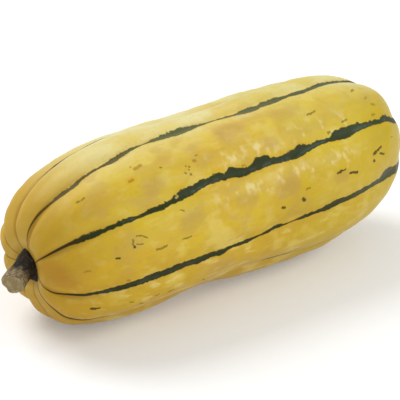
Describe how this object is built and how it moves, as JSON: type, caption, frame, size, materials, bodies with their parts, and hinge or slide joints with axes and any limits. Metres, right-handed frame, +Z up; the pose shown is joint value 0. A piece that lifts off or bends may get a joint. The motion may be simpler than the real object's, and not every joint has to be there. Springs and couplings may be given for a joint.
{
  "type": "delicata squash",
  "caption": "Whole delicata squash lying on its side: long ribbed yellow fruit with green-striped furrows and its short woody ridged stalk.",
  "frame": {"origin": "under the middle of the whole squash, on the surface it lies on", "axes": "+X along the fruit from its stalk to its blossom end, +Z up, -Y the side the squash is seen from"},
  "size_m": [0.2064, 0.0774, 0.0779],
  "materials": {
    "rind": "waxy satin rind, cream to golden yellow, with dark blue-green stripes along the furrows",
    "stalk_wood": "dry woody stalk, rough, near-black in its flutes and tan on the cut end"
  },
  "bodies": {
    "root": {"fruit": "rind", "stalk": "stalk_wood"}
  },
  "joints": []
}
